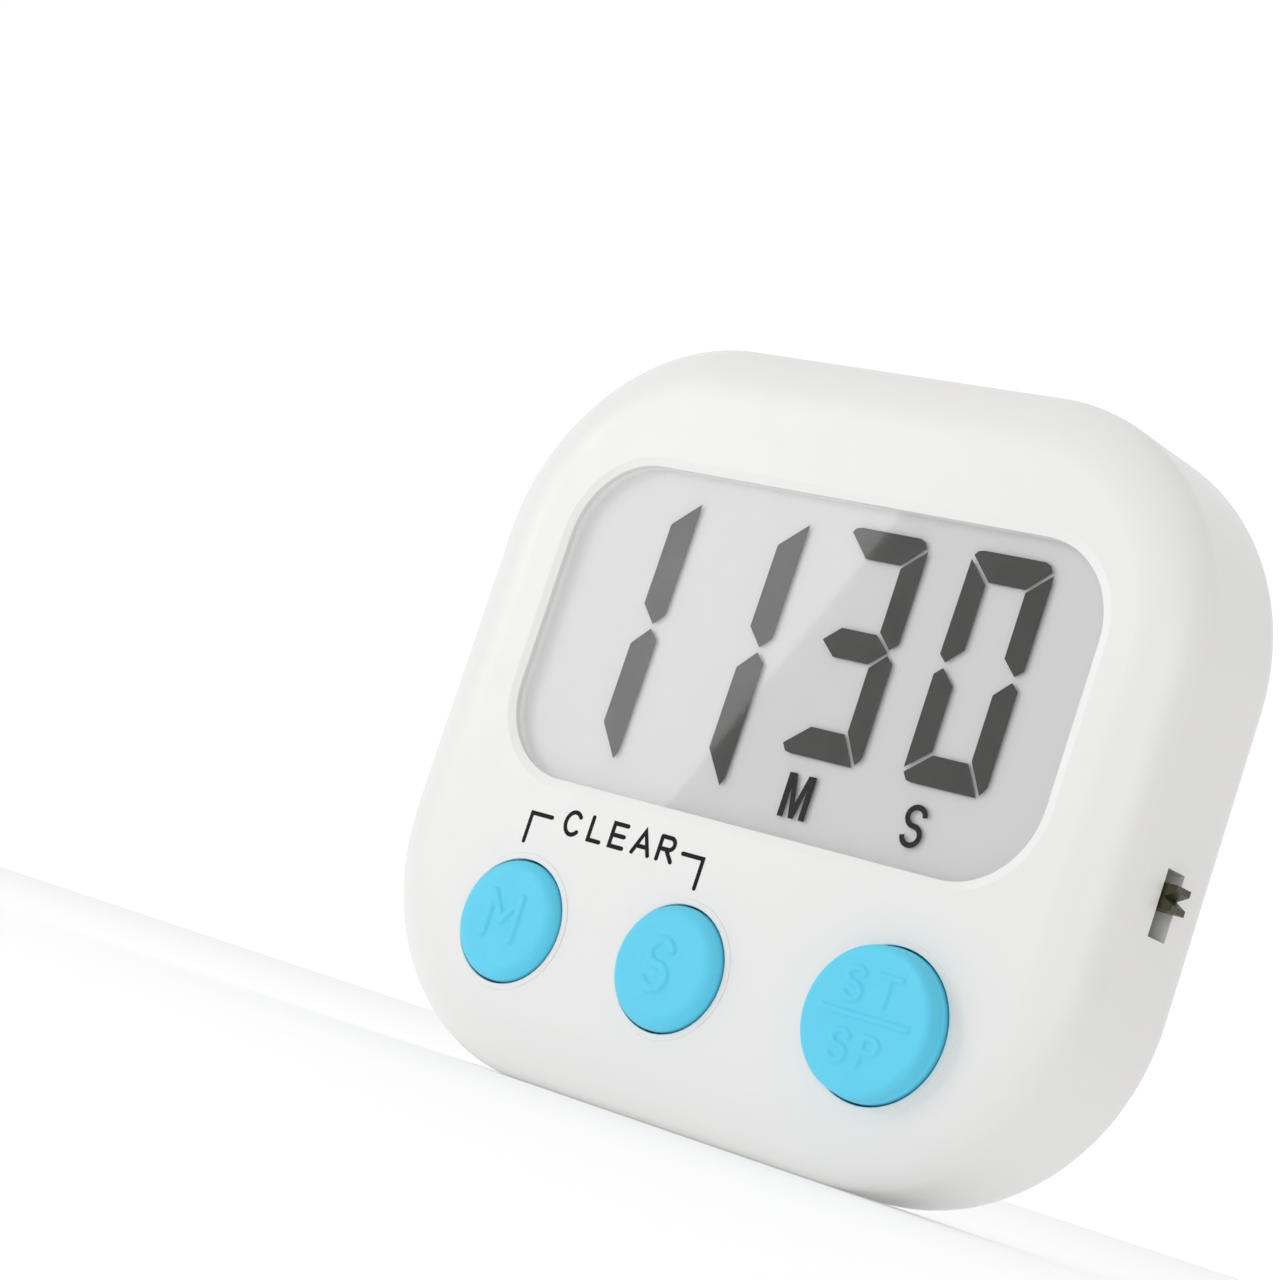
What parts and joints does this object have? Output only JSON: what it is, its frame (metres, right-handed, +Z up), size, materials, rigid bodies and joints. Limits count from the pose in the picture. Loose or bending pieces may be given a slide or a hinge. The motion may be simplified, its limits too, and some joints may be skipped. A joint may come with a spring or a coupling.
{
  "type": "kitchen timer",
  "caption": "Slim digital kitchen timer with a wide display, round push keys, a side slide switch, magnets and a fold-out stand.",
  "frame": {"origin": "centre of the flat bottom side that the upright timer stands on, midway through the case's thickness", "axes": "+Z up the display, +X to the reader's right, the display faces -Y and the magnets face +Y"},
  "size_m": [0.0668, 0.0153, 0.06],
  "materials": {
    "case_plastic": "satin white moulding",
    "key_plastic": "fine-grained sky blue",
    "clear_plastic": "clear polished sheet",
    "display_film": "pale grey polarising film",
    "display_glass": "clear glass",
    "reflector_film": "silvered film",
    "frame_plastic": "natural white",
    "strip_rubber": "striped pink-grey and carbon",
    "mat_rubber": "translucent grey silicone",
    "carbon_rubber": "matt black",
    "board_laminate": "green solder resist",
    "chip_resin": "glossy black drop",
    "black_moulding": "black",
    "chip_ceramic": "tan ceramic with tinned ends",
    "resistor_ceramic": "black film with tinned ends",
    "coil_ferrite": "dark ferrite",
    "plated_gold": "gold-plated copper",
    "sheet_steel": "nickel-plated steel",
    "screw_steel": "zinc-plated steel",
    "phenolic": "brown phenolic",
    "knob_plastic": "dark olive",
    "disc_brass": "rolled brass",
    "disc_ceramic": "silvered ceramic",
    "wire_red": "red insulation",
    "wire_black": "black insulation",
    "cell_steel": "polished can",
    "magnet_nickel": "nickel-plated"
  },
  "bodies": {
    "case": {"front_shell": "case_plastic", "rear_cover": "case_plastic", "window_lens": "clear_plastic", "lcd_polariser": "display_film", "lcd_front_glass": "display_glass", "lcd_rear_glass": "display_glass", "lcd_reflector": "reflector_film", "lcd_frame": "frame_plastic", "zebra_strip": "strip_rubber", "circuit_board": "board_laminate", "chip_blob": "chip_resin", "crystal": "sheet_steel", "chip_capacitors": "chip_ceramic", "chip_resistors": "resistor_ceramic", "drive_transistor": "black_moulding", "boost_coil": "coil_ferrite", "key_contacts": "plated_gold", "keypad_mat": "mat_rubber", "switch_shell": "sheet_steel", "switch_base": "phenolic", "switch_terminals": "sheet_steel", "buzzer_plate": "disc_brass", "buzzer_ceramic": "disc_ceramic", "buzzer_wire_red": "wire_red", "buzzer_wire_black": "wire_black", "button_cell": "cell_steel", "battery_spring": "sheet_steel", "battery_clip": "sheet_steel", "battery_wire_red": "wire_red", "battery_wire_black": "wire_black", "magnet_left": "magnet_nickel", "magnet_right": "magnet_nickel", "case_screws": "screw_steel", "board_screws": "screw_steel"},
    "minute_key_body": {"minute_key": "key_plastic", "minute_dome": "mat_rubber", "minute_pill": "carbon_rubber"},
    "second_key_body": {"second_key": "key_plastic", "second_dome": "mat_rubber", "second_pill": "carbon_rubber"},
    "start_key_body": {"start_key": "key_plastic", "start_dome": "mat_rubber", "start_pill": "carbon_rubber"},
    "switch_body": {"switch_knob": "knob_plastic"},
    "door_body": {"battery_door": "case_plastic"},
    "stand_body": {"stand": "case_plastic"}
  },
  "joints": [
    {"name": "minute_press", "type": "slide", "parent": "case", "child": "minute_key_body", "axis": [0, 1, 0], "range_m": [0, 0.0008], "stiffness_N_per_m": 1500, "springref_m": -0.0004, "deforming": ["minute_dome"]},
    {"name": "second_press", "type": "slide", "parent": "case", "child": "second_key_body", "axis": [0, 1, 0], "range_m": [0, 0.0008], "stiffness_N_per_m": 1500, "springref_m": -0.0004, "deforming": ["second_dome"]},
    {"name": "start_press", "type": "slide", "parent": "case", "child": "start_key_body", "axis": [0, 1, 0], "range_m": [0, 0.0008], "stiffness_N_per_m": 1500, "springref_m": -0.0004, "deforming": ["start_dome"]},
    {"name": "switch_slide", "type": "slide", "parent": "case", "child": "switch_body", "axis": [0, 0, -1], "range_m": [0, 0.002]},
    {"name": "door_turn", "type": "hinge", "parent": "case", "child": "door_body", "pos_m": [0, 0.00595, 0.045], "axis": [0, 1, 0], "range_deg": [0, 50]},
    {"name": "stand_fold", "type": "hinge", "parent": "case", "child": "stand_body", "pos_m": [0, 0.00575, 0.033], "axis": [1, 0, 0], "range_deg": [0, 75]}
  ]
}
